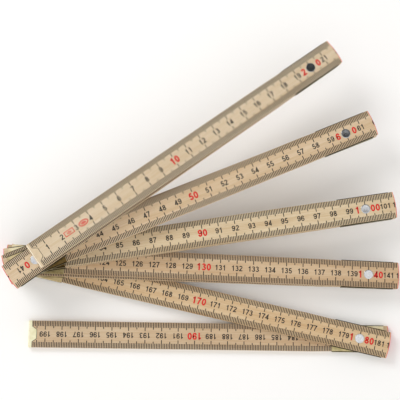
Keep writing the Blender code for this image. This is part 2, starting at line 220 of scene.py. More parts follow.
def birch(number, pale, dark):
    """Lacquered birch for one blade, with its hinged ends dipped in red."""
    material, tree, shader, frame_coordinates = new_material(f"lacquered_birch_{number:02d}")
    local = blade_coordinates(tree, frame_coordinates, number)
    shifted = add_node(tree, "ShaderNodeVectorMath", {"operation": "ADD"},
                       {0: local, 1: [shift * number for shift in PLANK_SHIFT]}).outputs[0]
    bands = add_node(tree, "ShaderNodeTexNoise", inputs={
        "Vector": stretched(tree, shifted, BAND_LENGTH, BAND_WIDTH), "Scale": 1.0, "Detail": 3.0})
    fibres = add_node(tree, "ShaderNodeTexNoise", inputs={
        "Vector": stretched(tree, shifted, FIBRE_LENGTH, FIBRE_WIDTH), "Scale": 1.0, "Detail": 4.0,
        "Roughness": 0.6})
    pores = add_node(tree, "ShaderNodeTexNoise", inputs={
        "Vector": stretched(tree, shifted, PORE_LENGTH, PORE_WIDTH), "Scale": 1.0, "Detail": 1.0})
    figure = add_node(tree, "ShaderNodeMath", {"operation": "MULTIPLY_ADD"},
                      {0: fibres.outputs["Fac"], 1: 0.55, 2: -0.02})
    figure = add_node(tree, "ShaderNodeMath", {"operation": "MULTIPLY_ADD"},
                      {0: bands.outputs["Fac"], 1: 0.5, 2: figure.outputs[0]})
    wood = add_node(tree, "ShaderNodeValToRGB", inputs={"Fac": figure.outputs[0]})
    set_ramp(wood, [(0.36, dark), (0.62, pale)])
    pore_mask = add_node(tree, "ShaderNodeMapRange", inputs={
        "Value": pores.outputs["Fac"], "From Min": 0.63, "From Max": 0.72, "To Min": 0.0, "To Max": 0.3})
    grained = add_node(tree, "ShaderNodeMix", {"data_type": "RGBA"}, {
        "Factor": pore_mask.outputs[0], 6: wood.outputs["Color"], 7: linear(PORE_TONE)})
    colour = grained.outputs[2]
    drips = add_node(tree, "ShaderNodeTexNoise", inputs={
        "Vector": local, "Scale": 1 / DRIP_SIZE, "Detail": 1.0})
    rim = add_node(tree, "ShaderNodeMath", {"operation": "MULTIPLY_ADD"}, {
        0: drips.outputs["Fac"], 1: DRIP_DEPTH, 2: END_ARC_RADIUS - PAINT_RIM - DRIP_DEPTH / 2}).outputs[0]
    ends = []
    if number < BLADE_COUNT:
        ends.append(END_ARC_RADIUS - END_REACH)
    if number > 1:
        ends.append(SPACING - END_ARC_RADIUS + END_REACH)
    for end in ends:
        painted = add_node(tree, "ShaderNodeMath", {"operation": "GREATER_THAN"},
                           {0: end_distance(tree, local, end), 1: rim}).outputs[0]
        near = add_node(tree, "ShaderNodeSeparateXYZ", inputs={0: local}).outputs["X"]
        this_end = add_node(tree, "ShaderNodeMath",
                            {"operation": "LESS_THAN" if end < SPACING / 2 else "GREATER_THAN"},
                            {0: near, 1: 0.0 if end < SPACING / 2 else SPACING}).outputs[0]
        dipped = add_node(tree, "ShaderNodeMath", {"operation": "MULTIPLY"}, {0: painted, 1: this_end})
        colour = add_node(tree, "ShaderNodeMix", {"data_type": "RGBA"}, {
            "Factor": dipped.outputs[0], 6: colour, 7: linear(DIP_RED)}).outputs[2]
    tree.links.new(colour, shader.inputs["Base Color"])
    sheen_map = add_node(tree, "ShaderNodeMapRange", inputs={
        "Value": fibres.outputs["Fac"], "To Min": 0.62, "To Max": 0.42})
    tree.links.new(sheen_map.outputs[0], shader.inputs["Roughness"])
    bump = add_node(tree, "ShaderNodeBump", inputs={
        "Height": fibres.outputs["Fac"], "Strength": 0.1, "Distance": 0.03 * MM})
    tree.links.new(bump.outputs[0], shader.inputs["Normal"])
    shader.inputs["IOR"].default_value = 1.5
    shader.inputs["Coat Weight"].default_value = 0.12
    shader.inputs["Coat Roughness"].default_value = 0.35
    return material


# %% [markdown]
# No two blades come from the same plank. The pale and dark tone of each one is set from the top blade
# down: the upper five are paler, and the lower five are a little warmer.

# %% Dress the blades
BLADE_TONES = {
    1: ("#D4C3A8", "#C5AC89"), 2: ("#D5C1A4", "#C5A985"), 3: ("#D5BFA1", "#C3A680"),
    4: ("#D5C1A3", "#C4A781"), 5: ("#D8C6A6", "#C5AA83"), 6: ("#D3BD9C", "#C1A27A"),
    7: ("#CEB594", "#BB9972"), 8: ("#D3BC9C", "#C0A079"), 9: ("#D5BC97", "#C29E71"),
    10: ("#CFB99A", "#BC9D79"),
}
for number, (pale, dark) in BLADE_TONES.items():
    blade = frame["nodes"][f"blade_{number:02d}"]
    blade.data.materials.clear()
    blade.data.materials.append(birch(number, pale, dark))
print("birch blades:", len(BLADE_TONES))

# %% [markdown]
# ## Finishes: printing ink
#
# The scale is screen-printed in black and red. Printed ink is a thin, slightly glossy film that isn't
# quite even, so a fine noise moves its tone and its roughness. A film of ink has an IOR near 1.5.

# %% Ink


def ink(name, full, thin):
    """Screen-printed ink that is a little thinner in places."""
    material, tree, shader, coordinates = new_material(name)
    film = add_node(tree, "ShaderNodeTexNoise", inputs={
        "Vector": coordinates, "Scale": 1 / (0.4 * MM), "Detail": 2.0})
    tone = add_node(tree, "ShaderNodeValToRGB", inputs={"Fac": film.outputs["Fac"]})
    set_ramp(tone, [(0.45, full), (0.75, thin)])
    tree.links.new(tone.outputs["Color"], shader.inputs["Base Color"])
    gloss = add_node(tree, "ShaderNodeMapRange", inputs={
        "Value": film.outputs["Fac"], "To Min": 0.4, "To Max": 0.6})
    tree.links.new(gloss.outputs[0], shader.inputs["Roughness"])
    shader.inputs["IOR"].default_value = 1.5
    return material


BLACK_INK = ink("black_printing_ink", "#0F0D0B", "#241F1B")
RED_INK = ink("red_printing_ink", "#D2150F", "#DB2A22")

# %% [markdown]
# ## Graduations with Geometry Nodes
#
# A centimetre scale is a rule in both senses: a mark every millimetre, a longer one every five, and the
# longest every ten. A Mesh Line gives one point for each millimetre, and the point's index tells which
# length its mark gets. The marks start at the wood's edge, which narrows towards the hinge, so a Map
# Range node follows the taper. Each mark is a cube scaled to a thin bar, and the bar is sunk a little
# into the wood so that no gap shows under it. The same tree draws the row on the other edge.

# %% Graduation tree
INK_RISE = 0.012 * MM
INK_DEPTH = 0.02 * MM
INK_FILM = INK_RISE + INK_DEPTH
FILM_MIDDLE = (INK_RISE - INK_DEPTH) / 2    # the film's middle above the face that carries it
MARK_WIDTH = 0.52 * MM
MARK_LENGTHS = {"Short Mark": 3.15 * MM, "Five Mark": 4.3 * MM, "Ten Mark": 5.25 * MM}
EDGE_FULL = 7.89 * MM          # marks start this far from the middle, on the full width
EDGE_WAIST = 7.64 * MM         # and this far beside the hinge
TAPER_FROM, TAPER_TO = 16.4 * MM, 27.9 * MM
WAIST_END = -15.45 * MM        # the wood is full width again beyond the hinge plate


def new_tree(name, sockets):
    """An empty geometry tree with named inputs and one geometry output."""
    tree = bpy.data.node_groups.new(name, "GeometryNodeTree")
    for label, kind in sockets:
        tree.interface.new_socket(name=label, in_out="INPUT", socket_type=kind)
    tree.interface.new_socket(name="Geometry", in_out="OUTPUT", socket_type="NodeSocketGeometry")
    return tree, tree.nodes.new("NodeGroupInput").outputs, tree.nodes.new("NodeGroupOutput").inputs


def graduation_tree():
    """Bars for a run of millimetre marks on both edges of a blade, in the blade's own frame."""
    sizes = ("Start", "Mark Width", *MARK_LENGTHS, "Film", "Height", "Full Edge", "Waist Edge",
             "Waist Near", "Waist Far", "Spacing", "Lower Waist", "Upper Waist", "Waist End")
    sockets = [("First Mark", "NodeSocketInt"), ("Mark Count", "NodeSocketInt"),
               *((label, "NodeSocketFloat") for label in sizes), ("Ink", "NodeSocketMaterial")]
    tree, given, out = new_tree("Graduations", sockets)

    def math_node(operation, a, b):
        return add_node(tree, "ShaderNodeMath", {"operation": operation}, {0: a, 1: b}).outputs[0]

    start = add_node(tree, "ShaderNodeCombineXYZ", inputs={"X": given["Start"], "Z": given["Height"]})
    line = add_node(tree, "GeometryNodeMeshLine", {"mode": "OFFSET"}, {
        "Count": given["Mark Count"], "Start Location": start.outputs[0], "Offset": (-MM, 0, 0)})
    index = add_node(tree, "GeometryNodeInputIndex").outputs[0]
    value = math_node("ADD", index, given["First Mark"])
    length = given["Short Mark"]
    for step, label in ((5.0, "Five Mark"), (10.0, "Ten Mark")):
        on_step = add_node(tree, "FunctionNodeCompare", {"data_type": "FLOAT", "operation": "LESS_THAN"},
                           {0: math_node("MODULO", value, step), 1: 0.5}).outputs[0]
        length = add_node(tree, "GeometryNodeSwitch", {"input_type": "FLOAT"}, {
            "Switch": on_step, "False": length, "True": given[label]}).outputs[0]

    place = add_node(tree, "GeometryNodeInputPosition").outputs[0]
    x = add_node(tree, "ShaderNodeSeparateXYZ", inputs={0: place}).outputs["X"]
    inset = math_node("SUBTRACT", given["Full Edge"], given["Waist Edge"])
    from_far_hinge = math_node("SUBTRACT", given["Spacing"], x)
    tapers = []
    for distance, switch in ((x, given["Lower Waist"]), (from_far_hinge, given["Upper Waist"])):
        share = add_node(tree, "ShaderNodeMapRange", inputs={
            "Value": distance, "From Min": given["Waist Near"], "From Max": given["Waist Far"],
            "To Min": 1.0, "To Max": 0.0}).outputs[0]
        narrow = math_node("GREATER_THAN", distance, given["Waist End"])
        tapers.append(math_node("MULTIPLY", math_node("MULTIPLY", share, narrow), switch))
    narrowing = math_node("MULTIPLY", math_node("MAXIMUM", tapers[0], tapers[1]), inset)
    edge = math_node("SUBTRACT", given["Full Edge"], narrowing)
    middle = math_node("SUBTRACT", edge, math_node("MULTIPLY", length, 0.5))

    cube = add_node(tree, "GeometryNodeMeshCube", inputs={"Size": (1, 1, 1)}).outputs["Mesh"]
    size = add_node(tree, "ShaderNodeCombineXYZ", inputs={
        "X": given["Mark Width"], "Y": length, "Z": given["Film"]})
    rows = add_node(tree, "GeometryNodeJoinGeometry")
    for side in (1.0, -1.0):
        offset = add_node(tree, "ShaderNodeCombineXYZ", inputs={"Y": math_node("MULTIPLY", middle, side)})
        moved = add_node(tree, "GeometryNodeSetPosition",
                         inputs={"Geometry": line.outputs["Mesh"], "Offset": offset.outputs[0]})
        bars = add_node(tree, "GeometryNodeInstanceOnPoints", inputs={
            "Points": moved.outputs[0], "Instance": cube, "Scale": size.outputs[0]})
        tree.links.new(bars.outputs[0], rows.inputs[0])
    real = add_node(tree, "GeometryNodeRealizeInstances", inputs={0: rows.outputs[0]})
    inked = add_node(tree, "GeometryNodeSetMaterial", inputs={
        "Geometry": real.outputs[0], "Material": given["Ink"]})
    tree.links.new(inked.outputs[0], out["Geometry"])
    return tree


GRADUATIONS = graduation_tree()
print("graduation tree:", len(GRADUATIONS.nodes), "nodes")

# %% [markdown]
# ## From a modifier to a plain mesh
#
# A tree is run by a Nodes modifier on a scratch object. Its inputs are set by the sockets' identifiers,
# before the object is evaluated for the first time. `new_from_object` then keeps the result as a plain
# mesh, and the scratch object is thrown away.

# %% Run a tree


def run_tree(tree, values, data=None):
    """The plain mesh that a geometry tree makes of a mesh or curve, from named input values."""
    scratch = bpy.data.objects.new("scratch", data or bpy.data.meshes.new("scratch"))
    bpy.context.scene.collection.objects.link(scratch)
    modifier = scratch.modifiers.new("tree", "NODES")
    modifier.node_group = tree
    inputs = [item for item in tree.interface.items_tree if item.in_out == "INPUT"]
    identifiers = {item.name: item.identifier for item in inputs}
    for name, value in values.items():
        modifier[identifiers[name]] = value
    scratch.update_tag()
    evaluated = scratch.evaluated_get(bpy.context.evaluated_depsgraph_get())
    made = bpy.data.meshes.new_from_object(evaluated)
    bpy.data.objects.remove(scratch)
    return made


# %% [markdown]
# ## Numerals as bent strokes
#
# The numbers on a rule are plain upright figures with strokes of even width. Each figure is drawn here
# as a few lines and arcs in a box one unit high, the way a sign painter would. Curve to Mesh then sweeps
# a flat bar along them, so the stroke keeps its width round every bend. At a sharp corner the bar would
# pinch, so there one stroke ends and another starts. A figure is made once in a regular and once in a
# bold weight, and the printing tree places copies of it.

# %% Draw the figures
FIGURE_WIDTH = 0.62            # of the figure's height
FIGURE_PITCH = 0.70            # from one figure to the next, of the height
REGULAR_STROKE, BOLD_STROKE = 0.175, 0.21
ARC_STEP = math.radians(24)


def arc(centre_x, centre_y, radius_x, radius_y, start, end):
    """Points of an ellipse from one angle to another, in degrees."""
    start, end = math.radians(start), math.radians(end)
    steps = max(2, math.ceil(abs(end - start) / ARC_STEP))
    angles = [start + (end - start) * step / steps for step in range(steps + 1)]
    return [(centre_x + radius_x * math.cos(a), centre_y + radius_y * math.sin(a)) for a in angles]


def figure_strokes(figure, stroke):
    """The centre lines of a figure, drawn so that its strokes just fill the box."""
    half = stroke / 2
    left, right, foot, head = half, FIGURE_WIDTH - half, half, 1 - half
    middle = FIGURE_WIDTH / 2
    radius = middle - half
    if figure == 0:
        return [arc(middle, 0.5, radius, 0.5 - half, 90, 450)]
    if figure == 1:
        stem = middle + 0.06
        return [[(stem, 0.0), (stem, 1.0)], [(stem - 0.25, 0.72), (stem, 0.84)]]
    if figure == 2:
        hook = arc(middle, 0.70, radius, head - 0.70, 165, -25)
        return [hook + [(middle - 0.02, 0.36), (left + 0.01, foot)], [(0.0, foot), (right + half, foot)]]
    if figure == 3:
        upper = arc(middle - 0.01, 0.735, radius - 0.03, head - 0.735, 160, -90)
        lower = arc(middle, 0.29, radius, 0.29 - foot, 90, -160)
        return [upper + lower[1:]]
    if figure == 4:
        stem = middle + 0.13
        return [[(stem, 0.0), (stem, 1.0)], [(stem, head), (left, 0.27)], [(0.0, 0.27), (right + half, 0.27)]]
    if figure == 5:
        bowl = arc(middle, 0.33, radius, 0.33 - foot, 135, -160)
        flag = [(left + 0.08, head), (left + 0.03, 0.46)]
        return [[(left + 0.06, head), (right, head)], flag, bowl]
    if figure in (6, 9):
        bowl = arc(middle, 0.32, radius, 0.32 - foot, 0, 360)
        neck = arc(middle, 0.58, radius, head - 0.58, 20, 180)
        strokes = [bowl, neck + [(left, 0.32)]]
        if figure == 9:
            strokes = [[(FIGURE_WIDTH - x, 1 - y) for x, y in line] for line in strokes]
        return strokes
    if figure == 7:
        slant = [(right, head), (middle + 0.02, 0.45), (middle - 0.09, 0.0)]
        return [[(0.0, head), (right + half, head)], slant]
    upper = arc(middle, 0.745, radius - 0.03, head - 0.745, 0, 360)
    return [upper, arc(middle, 0.29, radius, 0.29 - foot, 0, 360)]


def stroke_tree():
    """Sweeps a flat bar along curves: its width is the stroke, and its height is the ink film."""
    tree, given, out = new_tree("Strokes", [("Geometry", "NodeSocketGeometry"), ("Stroke", "NodeSocketFloat"),
                                            ("Film", "NodeSocketFloat")])
    bar = add_node(tree, "GeometryNodeCurvePrimitiveQuadrilateral",
                   inputs={"Width": given["Stroke"], "Height": given["Film"]})
    swept = add_node(tree, "GeometryNodeCurveToMesh", inputs={
        "Curve": given["Geometry"], "Profile Curve": bar.outputs[0], "Fill Caps": True})
    tree.links.new(swept.outputs[0], out["Geometry"])
    return tree


STROKES = stroke_tree()


def stroke_mesh(lines, stroke, film):
    """A plain mesh of flat bars along the given lines, which lie in one plane."""
    curve = bpy.data.curves.new("strokes", "CURVE")
    curve.dimensions = "3D"
    for line in lines:
        closed = (Vector(line[0]) - Vector(line[-1])).length < 1e-6
        points = line[:-1] if closed else line
        spline = curve.splines.new("POLY")
        spline.points.add(len(points) - 1)
        for point, (x, y) in zip(spline.points, points):
            point.co = (x, y, 0, 1)
        spline.use_cyclic_u = closed
    return run_tree(STROKES, {"Stroke": stroke, "Film": film}, curve)


def figure_set(name, stroke):
    """A collection of the ten figures, each one unit high and centred on its own origin."""
    collection = bpy.data.collections.new(name)
    bpy.context.scene.collection.children.link(collection)
    for figure in range(10):
        mesh = stroke_mesh(figure_strokes(figure, stroke), stroke, 1.0)
        mesh.transform(Matrix.Translation((-FIGURE_WIDTH / 2, -0.5, 0)))
        collection.objects.link(bpy.data.objects.new(f"{name}_{figure}", mesh))
    return collection


REGULAR = figure_set("regular_figure", REGULAR_STROKE)
BOLD = figure_set("bold_figure", BOLD_STROKE)

# %% [markdown]
# ## Printing the numbers
#
# A number is a row of points, one for each figure, and each point carries which figure it is and how
# tall. The printing tree picks that figure from the collection for each point. The reading direction of
# every top face runs towards the blade's lower hinge, so the figures are turned half round.

# %% Number tree


def number_tree():
    """Places one figure from a collection on each point, as its attributes say."""
    sockets = [("Geometry", "NodeSocketGeometry"), ("Figures", "NodeSocketCollection"),
               ("Film", "NodeSocketFloat"), ("Turn", "NodeSocketFloat"), ("Ink", "NodeSocketMaterial")]
    tree, given, out = new_tree("Numbers", sockets)
    figures = add_node(tree, "GeometryNodeCollectionInfo", inputs={
        "Collection": given["Figures"], "Separate Children": True, "Reset Children": True})
    which = add_node(tree, "GeometryNodeInputNamedAttribute", {"data_type": "INT"}, {"Name": "figure"})
    tall = add_node(tree, "GeometryNodeInputNamedAttribute", {"data_type": "FLOAT"}, {"Name": "tall"})
    size = add_node(tree, "ShaderNodeCombineXYZ", inputs={
        "X": tall.outputs[0], "Y": tall.outputs[0], "Z": given["Film"]})
    turn = add_node(tree, "ShaderNodeCombineXYZ", inputs={"Z": given["Turn"]})
    printed = add_node(tree, "GeometryNodeInstanceOnPoints", inputs={
        "Points": given["Geometry"], "Instance": figures.outputs[0], "Pick Instance": True,
        "Instance Index": which.outputs[0], "Rotation": turn.outputs[0], "Scale": size.outputs[0]})
    real = add_node(tree, "GeometryNodeRealizeInstances", inputs={0: printed.outputs[0]})
    inked = add_node(tree, "GeometryNodeSetMaterial", inputs={
        "Geometry": real.outputs[0], "Material": given["Ink"]})
    tree.links.new(inked.outputs[0], out["Geometry"])
    return tree


NUMBERS = number_tree()

# %% [markdown]
# ## Where each number stands
#
# Black numbers stand on their centimetre mark. Every tenth is red, bold and taller. Where a tenth falls
# on a hinge, the rivet head takes its place, so its first figure stands before the head and the rest
# after it, and a long number beyond the head is pushed outward. The next number is cut off by the
# blade's end, because the scale is printed before the end is trimmed.

# %% Number layout
BLACK_HEIGHT, RED_HEIGHT = 3.3 * MM, 4.3 * MM
MARKS_PER_BLADE = 20           # centimetres from hinge to hinge
BEFORE_RIVET, AFTER_RIVET = 5.1 * MM, 5.6 * MM
PAIR_SHIFT = FIGURE_PITCH * RED_HEIGHT / 8    # how much further out two figures stand than one
LONG_NUMBER_SHIFT = 2.2 * MM
CENTIMETRE = 10.0 * MM
TRIM_X = -(END_REACH - 0.2 * MM)


def spread_figures(text, centre_x, height):
    """One (x, figure, height) for each figure of a number, reading towards -X."""
    pitch = FIGURE_PITCH * height
    first = centre_x + pitch * (len(text) - 1) / 2
    return [(first - pitch * place, int(figure), height) for place, figure in enumerate(text)]


def number_points(number):
    """The black and the red figures on the top face of one blade."""
    black, red = [], []
    has_rivet = number < BLADE_COUNT
    last_mark = MARKS_PER_BLADE * number
    first_mark = last_mark - MARKS_PER_BLADE + (1 if number == 1 else 2)
    for mark in range(first_mark, last_mark + (3 if has_rivet else 0)):
        centre = (last_mark - mark) * CENTIMETRE
        text = str(mark)
        if mark == last_mark:
            red += spread_figures(text[0], BEFORE_RIVET, RED_HEIGHT)
            rest = AFTER_RIVET + (len(text) - 2) * PAIR_SHIFT
            red += spread_figures(text[1:], -rest, RED_HEIGHT)
        elif mark % 10 == 0:
            red += spread_figures(text, centre, RED_HEIGHT)
        else:
            if mark == last_mark + 1 and len(text) == 3:
                centre -= LONG_NUMBER_SHIFT
            black += spread_figures(text, centre, BLACK_HEIGHT)
    return black, red


def print_numbers(points, figures, material, film_middle):
    """The plain mesh of a list of figures, printed on a blade's top face."""
    mesh = bpy.data.meshes.new("figure_points")
    mesh.from_pydata([(x, 0, film_middle) for x, _, _ in points], [], [])
    which = mesh.attributes.new("figure", "INT", "POINT")
    which.data.foreach_set("value", [figure for _, figure, _ in points])
    tall = mesh.attributes.new("tall", "FLOAT", "POINT")
    tall.data.foreach_set("value", [height for _, _, height in points])
    values = {"Figures": figures, "Film": INK_FILM, "Turn": math.pi, "Ink": material}
    return run_tree(NUMBERS, values, mesh)


# %% [markdown]
# ## Printing both faces of every blade
#
# The rule measures from either end. Turned over, its back shows the same print as its front, starting
# again from zero at the other end. So the back of the bottom blade carries the print of the top blade,
# and so on up the stack. A half turn about the blade's short axis takes a top-face print to the bottom
# face. All black ink of a blade is one piece, and all red ink another.
#
# The marks leave out what an end cap covers. At a blade's upper hinge they stop before the hinge plate
# that lies on the wood there, and at its lower hinge they go on, almost to the rounded end.

# %% Print the blades
CAP_CLEAR = 3                  # the marks start this many millimetres from a capped end
HINGE_MARKS = 17               # and stop this many before the upper hinge, or this many beyond the lower


def trim(mesh):
    """Cuts off what would hang over the rounded end, and closes the cut."""
    bm = bmesh.new()
    bm.from_mesh(mesh)
    everything = bm.verts[:] + bm.edges[:] + bm.faces[:]
    bmesh.ops.bisect_plane(bm, geom=everything, plane_co=(TRIM_X, 0, 0), plane_no=(-1, 0, 0),
                           clear_outer=True)
    open_edges = [edge for edge in bm.edges if edge.is_boundary]
    bmesh.ops.holes_fill(bm, edges=open_edges)
    bm.to_mesh(mesh)
    bm.free()
    return mesh


def face_print(number):
    """The black and the red print of one top face, in the blade's local frame."""
    capped_low, capped_high = number == BLADE_COUNT, number == 1
    millimetres = 10 * MARKS_PER_BLADE
    last = millimetres - (CAP_CLEAR if capped_high else HINGE_MARKS)
    first = CAP_CLEAR if capped_low else -HINGE_MARKS
    film_middle = THICKNESS + FILM_MIDDLE
    values = {"First Mark": millimetres * number - last, "Mark Count": last - first + 1,
              "Start": last * MM, "Mark Width": MARK_WIDTH, "Film": INK_FILM, "Height": film_middle,
              "Full Edge": EDGE_FULL, "Waist Edge": EDGE_WAIST,
              "Waist Near": TAPER_FROM, "Waist Far": TAPER_TO, "Waist End": WAIST_END,
              "Spacing": SPACING, "Lower Waist": 0.0 if capped_low else 1.0,
              "Upper Waist": 0.0 if capped_high else 1.0, "Ink": BLACK_INK, **MARK_LENGTHS}
    black, red = number_points(number)
    black_numbers = trim(print_numbers(black, REGULAR, BLACK_INK, film_middle))
    red_numbers = trim(print_numbers(red, BOLD, RED_INK, film_middle))
    return {"black": [run_tree(GRADUATIONS, values), black_numbers], "red": [red_numbers]}


def join_meshes(name, parts, material):
    """One mesh from several (mesh, matrix) pairs, with one material."""
    bm = bmesh.new()
    for mesh, matrix in parts:
        placed = mesh.copy()
        placed.transform(matrix)
        bm.from_mesh(placed)
        bpy.data.meshes.remove(placed)
    bmesh.ops.recalc_face_normals(bm, faces=bm.faces)
    joined = bpy.data.meshes.new(name)
    bm.to_mesh(joined)
    bm.free()
    joined.materials.clear()
    joined.materials.append(material)
    for polygon in joined.polygons:
        polygon.material_index = 0
    return joined


def add_piece(name, mesh, body):
    """Links a finished mesh as a piece at the origin that rides on a body."""
    piece = bpy.data.objects.new(name, mesh)
    bpy.context.scene.collection.objects.link(piece)
    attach(piece, body)
    return piece


TURN_OVER = Matrix.Translation((SPACING, 0, THICKNESS)) @ Matrix.Rotation(math.pi, 4, "Y")
PRINTS = {number: face_print(number) for number in range(1, BLADE_COUNT + 1)}
for number, place in BLADES.items():
    for colour, material in (("black", BLACK_INK), ("red", RED_INK)):
        parts = [(mesh, place) for mesh in PRINTS[number][colour]]
        parts += [(mesh, place @ TURN_OVER) for mesh in PRINTS[BLADE_COUNT + 1 - number][colour]]
        joined = join_meshes(f"{colour}_scale_{number:02d}", parts, material)
        add_piece(f"{colour}_scale_{number:02d}", joined, f"section_{number:02d}")
for collection in (REGULAR, BOLD):
    for figure in list(collection.objects):
        bpy.data.objects.remove(figure)
    bpy.data.collections.remove(collection)
print("printed scales:", 2 * BLADE_COUNT, "pieces")

# %% [markdown]
# ## Finish: chromated zinc on the hinge plates and caps
#
# The plates are pressed from sheet steel, zinc plated and dipped in a yellow chromate bath. Chromate
# leaves a thin straw-coloured film that drifts to olive in soft patches a few millimetres across. The
# inner half of a plate, which lies under its neighbours, gets a darker film as painted shade, set blade
# by blade, and the outer half gets a paler film as painted light. The upright faces of the flanges get a
# dull olive tone as painted shade, and a dark line of painted shade runs along their flat top edges,
# except on the left flanges of the lower blades. The caps have neither. All of this follows the blade's
# own frame. The metal under the film shows fine rolling lines, and metals keep the default IOR.

# %% Chromated steel
FLANGE_FROM = 7.72 * MM        # from here to the blade's side, a plate is only its narrow flange
# between these distances outward from the nearer hinge, the painted shade of the inner film gives way to the
# painted light of the outer film
SHADE_FADE_FROM, SHADE_FADE_TO = -8.0 * MM, 3.0 * MM
# painted shade: the dark line on the flanges' top edges and the dull olive of their upright faces
PAINTED_EDGE_SHADE, PAINTED_SIDE_SHADE = "#17160E", "#66603A"
FIRST_UNSHADED_BLADE = 7          # from this blade down, the left flanges get no painted edge shade


def steps(tree, operations):
    """Runs a chain of maths, each step as (operation, a, b), where None stands for the last result."""
    result = None
    for operation, *values in operations:
        inputs = {place: result if value is None else value for place, value in enumerate(values)}
        result = add_node(tree, "ShaderNodeMath", {"operation": operation}, inputs).outputs[0]
    return result


def film_colour(tree, patches, tones):
    """A chromate film that drifts from one tone to another in soft patches."""
    film = add_node(tree, "ShaderNodeValToRGB", inputs={"Fac": patches})
    set_ramp(film, [(0.36, tones[0]), (0.64, tones[1])])
    return film.outputs["Color"]


def chromated(name, number, inner, outer, roughness, flange):
    """Zinc-plated sheet steel with a chromate film; on a plate the inner half carries painted shade, the
    outer half painted light, and the flanges painted shade; flange is 1 on a plate with flanges, and 0 on a
    cap.
    """
    material, tree, shader, frame_coordinates = new_material(f"{name}_{number:02d}")
    local = blade_coordinates(tree, frame_coordinates, number)
    patches = add_node(tree, "ShaderNodeTexNoise", inputs={
        "Vector": local, "Scale": 1 / (4.0 * MM), "Detail": 3.0, "Distortion": 0.4}).outputs["Fac"]
    place = add_node(tree, "ShaderNodeSeparateXYZ", inputs={0: local}).outputs
    low_side = steps(tree, [("MULTIPLY", place["X"], -1.0)])
    outward = steps(tree, [("SUBTRACT", place["X"], SPACING), ("MAXIMUM", None, low_side)])
    # painted light: the share of the paler outer film; the rest is the inner film's painted shade
    painted_light_share = add_node(tree, "ShaderNodeMapRange", {"interpolation_type": "SMOOTHSTEP"}, {
        "Value": outward, "From Min": SHADE_FADE_FROM, "From Max": SHADE_FADE_TO}).outputs[0]
    film = add_node(tree, "ShaderNodeMix", {"data_type": "RGBA"}, {
        "Factor": painted_light_share, 6: film_colour(tree, patches, inner), 7: film_colour(tree, patches, outer)})
    facing = tree.nodes["Texture Coordinate"].outputs["Normal"]
    upright = add_node(tree, "ShaderNodeSeparateXYZ", inputs={0: facing}).outputs["Z"]
    level = steps(tree, [("ABSOLUTE", upright)])
    # painted shade: upright faces, the flanges of a plate, turn dull olive
    side_shade_share = add_node(tree, "ShaderNodeMapRange", inputs={
        "Value": level, "From Min": 0.25, "From Max": 0.55, "To Min": 0.9 * flange,
        "To Max": 0.0}).outputs[0]
    with_side_shade = add_node(tree, "ShaderNodeMix", {"data_type": "RGBA"}, {
        "Factor": side_shade_share, 6: film.outputs[2], 7: linear(PAINTED_SIDE_SHADE)})
    # painted shade: a dark line on the flat top edges of the flanges, at both ends of the upper six blades
    # and at one end of the others
    edge_shade_test = "LESS_THAN" if number % 2 else "GREATER_THAN"
    both_ends = 1.0 if number < FIRST_UNSHADED_BLADE else 0.0
    edge_shade_ends = steps(tree, [(edge_shade_test, place["X"], SPACING / 2), ("MAXIMUM", None, both_ends),
                           ("MULTIPLY", None, flange)])
    lying = steps(tree, [("GREATER_THAN", level, 0.4), ("MULTIPLY", None, edge_shade_ends)])
    edge = steps(tree, [("ABSOLUTE", place["Y"]), ("GREATER_THAN", None, FLANGE_FROM),
                        ("MULTIPLY", None, lying)])
    edge_shaded_colour = add_node(tree, "ShaderNodeMix", {"data_type": "RGBA"}, {
        "Factor": edge, 6: with_side_shade.outputs[2], 7: linear(PAINTED_EDGE_SHADE)})
    tree.links.new(edge_shaded_colour.outputs[2], shader.inputs["Base Color"])
    lines = add_node(tree, "ShaderNodeTexNoise", inputs={
        "Vector": stretched(tree, local, 6.0 * MM, 0.2 * MM), "Scale": 1.0, "Detail": 2.0})
    gloss = add_node(tree, "ShaderNodeMapRange", inputs={
        "Value": lines.outputs["Fac"], "To Min": roughness - 0.08, "To Max": roughness + 0.12})
    tree.links.new(gloss.outputs[0], shader.inputs["Roughness"])
    shader.inputs["Metallic"].default_value = 1.0
    return material


# film tones: the inner ones are painted shade for the blades above, set blade by blade, and the outer ones
# are painted light
SHADED_INNER_FILM = {3: ("#50391C", "#74603A"), 4: ("#4A3418", "#6C5732"), 5: ("#4A3418", "#6C5732"),
              6: ("#64502C", "#8A764A"), 9: ("#B8A67E", "#D2BE92"),
              BLADE_COUNT: ("#B5A87B", "#D8CB9C")}
COMMON_SHADED_INNER = ("#7C6C48", "#A89A70")
LIT_OUTER_FILM = {3: ("#B9A67C", "#D9C9A0"), 4: ("#B9A67C", "#D9C9A0")}
COMMON_LIT_OUTER = ("#DDCB9E", "#F2E9CC")
CAP_FILM = {1: ("#D6C3A4", "#E2CFB2"), BLADE_COUNT: ("#E8E2BC", "#F4F1D2")}
PLATE_FINISH = {number: chromated("chromated_zinc_plate", number, SHADED_INNER_FILM.get(number, COMMON_SHADED_INNER),
                                  LIT_OUTER_FILM.get(number, COMMON_LIT_OUTER), 0.4, 1.0) for number in BLADES}
CAP_FINISH = {number: chromated("pale_chromated_cap", number, film, film, 0.5, 0.0)
              for number, film in CAP_FILM.items()}
SHEET_EDGE = 0.08 * MM         # how far the sheet's sharp edges are broken
SHEET_CORNER = math.radians(50)    # only corners sharper than this are broken


def sheet_finish(name):
    """The finish of a sheet part: the lower plate of a hinge sits on the blade below it."""
    if name.endswith("end_cap"):
        return CAP_FINISH[1 if name.startswith("zero") else BLADE_COUNT]
    hinge = int(name.split("_")[-1])
    return PLATE_FINISH[hinge if name.startswith("upper") else hinge + 1]


